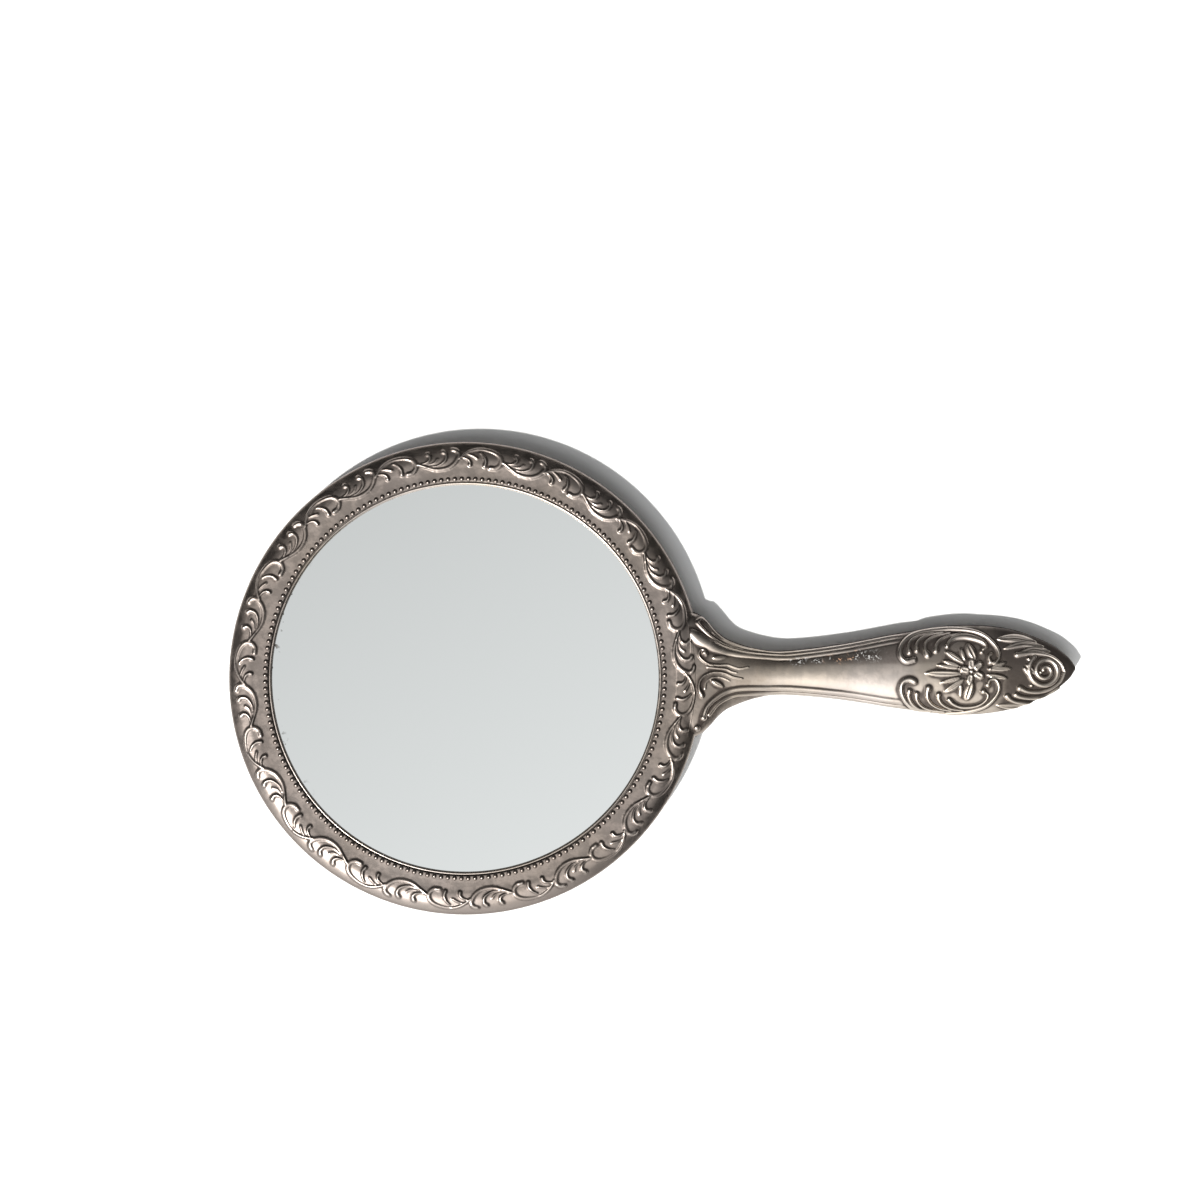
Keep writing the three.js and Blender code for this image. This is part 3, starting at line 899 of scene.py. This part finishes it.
def back_relief(u, v):
    """The sprays of scrolls round the medallion. u is an arc length and v the radius."""
    relief = Relief(u, v)
    period = 2 * np.pi * SPRAY_RADIUS / BACK_SPRAYS
    for shift in (-period, 0, period):
        middle = shift + period / 2
        back_scrolls(relief, middle, 1)
        back_scrolls(relief, middle, -1)
        relief.leaf((middle, 24), (middle, 45), 1.9, 0.75)
        relief.knob(middle, 21.5, 1.5, 0.8)
        relief.knob(shift, 19.5, 1.1, 0.6)
        relief.leaf((shift, 22.5), (shift, 31), 1.4, 0.6)
    return relief.height


def back_scrolls(relief, middle, flip):
    """One half of a spray: a long stem, a curl at its end and four fingers inside it."""

    def at(points):
        return [(middle + flip * a, r) for a, r in points]

    stem = [(3.2, 21), (1.0, 20), (0.2, 23), (1.6, 28), (5.2, 32), (9.2, 36), (10.8, 41), (8.2, 44.5)]
    relief.scroll(at(stem), 1.0, 1.5, 0.75, 0.6)
    relief.scroll(at([(4.6, 42.6), (6.6, 44.2), (8.2, 42.4), (7.2, 39)]), 0.9, 1.3, 0.7)
    for i in range(4):
        finger = [(4.4 + 1.5 * i, 25.5 + 3.2 * i), (3.2 + 1.6 * i, 27.5 + 3 * i)]
        finger.append((3.2 + 1.8 * i, 30.2 + 2.2 * i))
        relief.scroll(at(finger), 0.7, 1.0, 0.6)


def back_section():
    """The back's closed section, and which of its points are the ornamented field."""
    edge = SEAM - GAP / 2
    medallion = [(0.01, 0), (MEDALLION_RADIUS - 0.6, 0), (MEDALLION_RADIUS, 0.12)]
    medallion.append((MEDALLION_RADIUS + 0.9, FIELD))
    field = resample([(MEDALLION_RADIUS + 1.2, FIELD), (REST_RING_INNER - 1.1, FIELD)], 0.36)
    border = [(REST_RING_INNER - 0.7, FIELD - 0.25), (REST_RING_INNER, 0.1), (REST_RING_INNER + 0.3, 0)]
    bowl = [(REST_RING_OUTER, 0), (57, 0.15), (61, 0.65), (64.8, 1.65), (67.2, 2.95), (68.2, 4.0)]
    wall = [(HEAD_RADIUS, 4.3), (HEAD_RADIUS, edge - 0.12), (HEAD_RADIUS - 0.12, edge)]
    inside = [(HEAD_RADIUS - WALL, edge), (66, 3.4), (63.5, 2.2), (59, 1.4)]
    inside += [(REST_RING_OUTER, SHEET), (REST_RING_INNER, SHEET), (REST_RING_INNER - 1, FIELD + SHEET)]
    inside += [(MEDALLION_RADIUS + 1, FIELD + SHEET), (MEDALLION_RADIUS, SHEET), (0.01, SHEET)]
    section = np.vstack([medallion, field, border, spline(bowl, 5), wall, inside])
    return section, len(medallion), len(medallion) + len(field)


def head_back(material):
    section, first, last = back_section()
    angles = np.arange(BACK_COLUMNS) / BACK_COLUMNS * 2 * np.pi
    spray = angles[: BACK_COLUMNS // BACK_SPRAYS] * SPRAY_RADIUS
    uu, rr = np.meshgrid(spray, section[first:last, 0])
    height = np.zeros((len(section), BACK_COLUMNS))
    height[first:last] = np.tile(back_relief(uu, rr), (1, BACK_SPRAYS))
    radius = np.repeat(section[:, :1], BACK_COLUMNS, 1)
    level = section[:, 1:] - height
    points = np.stack([radius * np.cos(angles), radius * np.sin(angles), level], -1)
    shade = {"tarnish_and_shade": tarnish_and_shade(height, (2, 2), (False, True), 0.25), "relief": height / BACK_RELIEF}
    made = grid_object("head_back", points, False, True, material, shade, caps=(0, -1))
    return finish_piece(made, "silver_plate", "back_shell")


# ---- Materials ----


class Nodes:
    """Short calls for building a node tree."""

    def __init__(self, name):
        self.material = bpy.data.materials.new(name)
        self.material.use_nodes = True
        self.tree = self.material.node_tree
        self.surface = self.tree.nodes["Principled BSDF"]
        self.place = self.add("ShaderNodeTexCoord").outputs["Object"]

    def add(self, kind, **settings):
        node = self.tree.nodes.new(kind)
        for key, value in settings.items():
            setattr(node, key, value)
        return node

    def link(self, source, target):
        self.tree.links.new(source, target)

    def feed(self, socket, value):
        if isinstance(value, bpy.types.NodeSocket):
            self.link(value, socket)
        else:
            socket.default_value = value

    def noise(self, scale, detail=4, roughness=0.5, distortion=0.0):
        node = self.add("ShaderNodeTexNoise")
        self.link(self.place, node.inputs["Vector"])
        node.inputs["Scale"].default_value = scale
        node.inputs["Detail"].default_value = detail
        node.inputs["Roughness"].default_value = roughness
        node.inputs["Distortion"].default_value = distortion
        return node.outputs["Fac"]

    def math(self, operation, a, b=0.0):
        node = self.add("ShaderNodeMath", operation=operation)
        self.feed(node.inputs[0], a)
        self.feed(node.inputs[1], b)
        return node.outputs[0]

    def span(self, value, low, high, to_low=0.0, to_high=1.0):
        node = self.add("ShaderNodeMapRange", interpolation_type="SMOOTHSTEP")
        self.feed(node.inputs["Value"], value)
        node.inputs["From Min"].default_value = low
        node.inputs["From Max"].default_value = high
        node.inputs["To Min"].default_value = to_low
        node.inputs["To Max"].default_value = to_high
        return node.outputs["Result"]

    def mix(self, factor, a, b):
        """Mixes two colours. A colour mix has its sockets at 6 and 7 and its result at 2."""
        node = self.add("ShaderNodeMix", data_type="RGBA")
        self.feed(node.inputs["Factor"], factor)
        self.feed(node.inputs[6], a if isinstance(a, bpy.types.NodeSocket) else (*a, 1))
        self.feed(node.inputs[7], b if isinstance(b, bpy.types.NodeSocket) else (*b, 1))
        return node.outputs[2]

    def along_handle(self):
        """The distance along the handle from the middle of the glass, in metres."""
        split = self.add("ShaderNodeSeparateXYZ")
        self.link(self.place, split.inputs[0])
        return split.outputs["X"]

    def attribute(self, name):
        return self.add("ShaderNodeAttribute", attribute_name=name).outputs["Fac"]

    def bump(self, height, distance, strength=1.0):
        node = self.add("ShaderNodeBump")
        node.inputs["Strength"].default_value = strength
        node.inputs["Distance"].default_value = distance
        self.link(height, node.inputs["Height"])
        self.link(node.outputs["Normal"], self.surface.inputs["Normal"])


CLEAN_SILVER = (0.46, 0.41, 0.375)
DULL_SILVER = (0.29, 0.25, 0.225)
HEAD_TARNISH = (0.15, 0.125, 0.112)
WARM_TARNISH = (0.36, 0.30, 0.22)
RUBBED_SILVER = (0.60, 0.55, 0.50)
# Black of tarnish, also used for painted shade.
BLACK_TARNISH_AND_SHADE = (0.03, 0.023, 0.021)
FLECK_SILVER = (0.85, 0.84, 0.82)
FLECK_COPPER = (0.78, 0.5, 0.34)
PANE_SILVER = (0.93, 0.95, 0.945)
PANE_SPECK = (0.12, 0.11, 0.1)

# Features in a metre of each noise, from broad patches to fine grain.
WARM_SCALE = 21
BLOTCH_SCALE = 38
MOTTLE_SCALE = 330
WORN_SCALE = 420
COPPER_SCALE = 500
GRAIN_SCALE = 900
FLECK_SCALE = 1500

HEAD_DULLNESS = 0.75  # how much of HEAD_TARNISH the head has
HEAD_FADE = (62, 80)  # and where along the handle it fades out
# How dark the tarnish and the painted shade get.
TARNISH_AND_SHADE_STRENGTH = 0.88
SPOT_DARKNESS = 0.5
CREST_RUBBING = 0.22
PLATE_ROUGHNESS = (0.30, 0.42)


def silver_material():
    """Silver plate: tarnish and painted shade from a vertex attribute darken it, and it is rubbed where the
    relief is.
    """
    n = Nodes("tarnished_silver")
    blotch = n.span(n.noise(BLOTCH_SCALE, 5, 0.6), 0.36, 0.66)
    mottle = n.span(n.noise(MOTTLE_SCALE, 4, 0.65), 0.35, 0.7)
    warm = n.span(n.noise(WARM_SCALE, 3, 0.5, 0.4), 0.46, 0.66)
    dull = n.math("ADD", n.math("MULTIPLY", blotch, 0.5), n.math("MULTIPLY", mottle, 0.35))
    colour = n.mix(dull, CLEAN_SILVER, DULL_SILVER)
    colour = n.mix(n.math("MULTIPLY", warm, 0.4), colour, WARM_TARNISH)
    head = n.span(n.along_handle(), HEAD_FADE[0] * MM, HEAD_FADE[1] * MM, HEAD_DULLNESS, 0.0)
    unpolished = n.math("SUBTRACT", 1.0, n.attribute("polish"))
    colour = n.mix(n.math("MULTIPLY", head, unpolished), colour, HEAD_TARNISH)
    colour = n.mix(n.span(n.attribute("relief"), 0.6, 1.0, 0.0, CREST_RUBBING), colour, RUBBED_SILVER)
    # Tarnish in the creases and painted shade, both from the vertex attribute, darken the colour towards
    # black.
    darkening = n.math("ADD", n.attribute("tarnish_and_shade"), n.math("MULTIPLY", mottle, 0.1))
    dark = n.span(darkening, 0.1, 0.9)
    colour = n.mix(n.math("MULTIPLY", dark, TARNISH_AND_SHADE_STRENGTH), colour, BLACK_TARNISH_AND_SHADE)
    wear = n.attribute("wear")
    colour = n.mix(n.math("MULTIPLY", wear, SPOT_DARKNESS), colour, BLACK_TARNISH_AND_SHADE)
    fleck = n.math("MULTIPLY", fleck_pattern(n), wear)
    colour = n.mix(fleck, colour, n.mix(bare_copper(n), FLECK_SILVER, FLECK_COPPER))
    n.link(colour, n.surface.inputs["Base Color"])
    n.surface.inputs["Metallic"].default_value = 1.0
    rough = n.math("ADD", n.span(mottle, 0, 1, *PLATE_ROUGHNESS), n.math("MULTIPLY", dark, 0.25))
    n.link(n.math("ADD", rough, n.math("MULTIPLY", fleck, 0.2)), n.surface.inputs["Roughness"])
    n.bump(n.noise(GRAIN_SCALE, 3, 0.6), 0.00003, 0.6)
    return n.material


def fleck_pattern(n):
    """Fine flecks, in uneven patches."""
    speck = n.span(n.noise(FLECK_SCALE, 2, 0.6), 0.53, 0.58)
    patch = n.span(n.noise(WORN_SCALE, 2, 0.5), 0.42, 0.54)
    return n.math("MULTIPLY", speck, patch)


def bare_copper(n):
    """1 where a fleck shows copper, between two distances along the handle."""
    along = n.along_handle()
    begun = n.span(along, (COPPER_FROM - 1) * MM, COPPER_FROM * MM)
    not_past = n.span(along, COPPER_TO * MM, (COPPER_TO + 1) * MM, 1, 0)
    patches = n.span(n.noise(COPPER_SCALE, 1), 0.42, 0.52)
    return n.math("MULTIPLY", n.math("MULTIPLY", begun, not_past), patches)


def mirror_material():
    """A mirror with a faint haze, and a few dark specks near one edge."""
    n = Nodes("silvered_glass")
    split = n.add("ShaderNodeSeparateXYZ")
    n.link(n.place, split.inputs[0])
    across = n.math("MULTIPLY", split.outputs["X"], split.outputs["X"])
    along = n.math("MULTIPLY", split.outputs["Y"], split.outputs["Y"])
    radius = n.math("SQRT", n.math("ADD", across, along))
    edge = n.span(radius, 0.0535, 0.0556)
    edge = n.math("MULTIPLY", edge, n.span(split.outputs["X"], -0.052, -0.042, 1.0, 0.0))
    specks = n.math("MULTIPLY", n.span(n.noise(420, 2, 0.5), 0.62, 0.67), edge)
    n.link(n.mix(specks, PANE_SILVER, PANE_SPECK), n.surface.inputs["Base Color"])
    n.surface.inputs["Metallic"].default_value = 1.0
    haze = n.span(n.noise(60, 3), 0.4, 0.8, 0.012, 0.03)
    n.link(n.math("ADD", haze, n.math("MULTIPLY", specks, 0.3)), n.surface.inputs["Roughness"])
    return n.material


def plain_material(name, dark, light, roughness, metallic, scale, bump):
    n = Nodes(name)
    n.link(n.mix(n.span(n.noise(scale, 5), 0.35, 0.65), dark, light), n.surface.inputs["Base Color"])
    n.surface.inputs["Metallic"].default_value = metallic
    n.surface.inputs["Roughness"].default_value = roughness
    n.bump(n.noise(scale * 6, 4), bump)
    return n.material


HIDDEN = {
    "backing_card": ("grey_board", (0.2, 0.18, 0.15), (0.3, 0.27, 0.22), 0.95, 0, 300, 0.00005),
    "felt_pad": ("pressed_felt", (0.03, 0.05, 0.03), (0.06, 0.09, 0.06), 1, 0, 900, 0.0002),
    "retainer_plate": ("tinned_sheet", (0.5, 0.5, 0.5), (0.65, 0.65, 0.64), 0.4, 1, 200, 0.00002),
    "retainer_tab": ("strip_brass", (0.4, 0.26, 0.09), (0.55, 0.38, 0.15), 0.42, 1, 300, 0.00002),
    "handle_core": ("cast_plaster", (0.5, 0.46, 0.38), (0.66, 0.62, 0.54), 0.95, 0, 150, 0.0002),
    "tang": ("rolled_strip", (0.07, 0.07, 0.08), (0.13, 0.13, 0.14), 0.5, 1, 250, 0.00003),
    "tang_rivet": ("rivet_brass", (0.36, 0.24, 0.09), (0.5, 0.35, 0.14), 0.45, 1, 400, 0.00002),
}


def dress_hidden_nodes(nodes):
    """Gives each unseen inner piece its own material."""
    made = {key: plain_material(*values) for key, values in HIDDEN.items()}
    for name, obj in nodes.items():
        key = name.rstrip("0123456789").rstrip("_")
        if key in made:
            obj.data.materials.clear()
            obj.data.materials.append(made[key])


# ---- Stage ----


def world():
    """A pale ceiling over dark walls, with a tall window on one side."""
    made = bpy.data.worlds.new("studio")
    bpy.context.scene.world = made
    made.use_nodes = True
    tree = made.node_tree
    back = tree.nodes["Background"]
    place = tree.nodes.new("ShaderNodeTexCoord")
    split = tree.nodes.new("ShaderNodeSeparateXYZ")
    tree.links.new(place.outputs["Generated"], split.inputs[0])

    def calc(operation, a, b=None):
        node = tree.nodes.new("ShaderNodeMath")
        node.operation = operation
        for socket, value in zip(node.inputs, (a, b)):
            if isinstance(value, bpy.types.NodeSocket):
                tree.links.new(value, socket)
            elif value is not None:
                socket.default_value = value
        return node.outputs[0]

    def soft(value, low, high):
        node = tree.nodes.new("ShaderNodeMapRange")
        node.interpolation_type = "SMOOTHSTEP"
        tree.links.new(value, node.inputs["Value"])
        node.inputs["From Min"].default_value = low
        node.inputs["From Max"].default_value = high
        return node.outputs["Result"]

    x, y, z = split.outputs
    heading = math.radians(WINDOW_HEADING)
    tilt = calc("ADD", calc("MULTIPLY", x, CEILING_TILT[0]), calc("MULTIPLY", y, CEILING_TILT[1]))
    ceiling = calc("MULTIPLY", soft(z, *CEILING_EDGE), calc("ADD", tilt, CEILING))
    far_side = calc("SUBTRACT", 1.0, calc("MULTIPLY", soft(x, *FAR_SIDE), FAR_SIDE_DIMMING))
    ceiling = calc("MULTIPLY", calc("MAXIMUM", ceiling, 0.0), far_side)
    lean = calc("ADD", calc("MULTIPLY", x, math.cos(heading)), calc("MULTIPLY", y, math.sin(heading)))
    level = calc("SQRT", calc("SUBTRACT", 1.001, calc("MULTIPLY", z, z)))
    window = calc("MULTIPLY", soft(lean, *WINDOW_LEAN), soft(calc("DIVIDE", lean, level), *WINDOW_SIDES))
    window = calc("MULTIPLY", window, calc("MULTIPLY", soft(z, *WINDOW_SILL), WINDOW))
    tree.links.new(calc("ADD", calc("ADD", ceiling, window), WALLS), back.inputs["Strength"])
    back.inputs["Color"].default_value = ROOM_COLOUR


def lamp():
    data = bpy.data.lights.new("key", "SUN")
    data.energy = LIGHT_STRENGTH
    data.angle = math.radians(LIGHT_SPREAD)
    data.color = LIGHT_COLOUR
    obj = bpy.data.objects.new("key", data)
    heading, height = math.radians(LIGHT_HEADING), math.radians(LIGHT_HEIGHT)
    level = math.cos(height)
    way = Vector((math.cos(heading) * level, math.sin(heading) * level, math.sin(height)))
    obj.rotation_euler = way.to_track_quat("Z", "Y").to_euler()
    bpy.context.scene.collection.objects.link(obj)


def floor():
    n = Nodes("table")
    n.surface.inputs["Base Color"].default_value = (FLOOR_GREY, FLOOR_GREY, FLOOR_GREY, 1)
    n.surface.inputs["Roughness"].default_value = 0.9
    n.surface.inputs["Specular IOR Level"].default_value = 0.0
    bpy.ops.mesh.primitive_plane_add(size=FLOOR_SIZE, location=(0, 0, 0))
    obj = bpy.context.object
    obj.name = "table"
    obj.data.materials.append(n.material)


def camera():
    data = bpy.data.cameras.new("camera")
    data.lens = LENS
    data.clip_start = 0.01
    obj = bpy.data.objects.new("camera", data)
    obj.location = (VIEW_CENTRE[0] * MM, VIEW_CENTRE[1] * MM, CAMERA_HEIGHT * MM)
    obj.rotation_euler = (0, 0, math.radians(VIEW_TURN))
    bpy.context.scene.collection.objects.link(obj)
    bpy.context.scene.camera = obj


# ---- Build ----


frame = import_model()

silver = silver_material()
head_front(silver)
bead_row(silver)
rim(silver)
pane(mirror_material())
handle_front(silver)
handle_back(silver)
head_back(silver)
dress_hidden_nodes(frame["nodes"])

floor()
world()
lamp()
camera()
bpy.context.scene.view_settings.view_transform = "Standard"
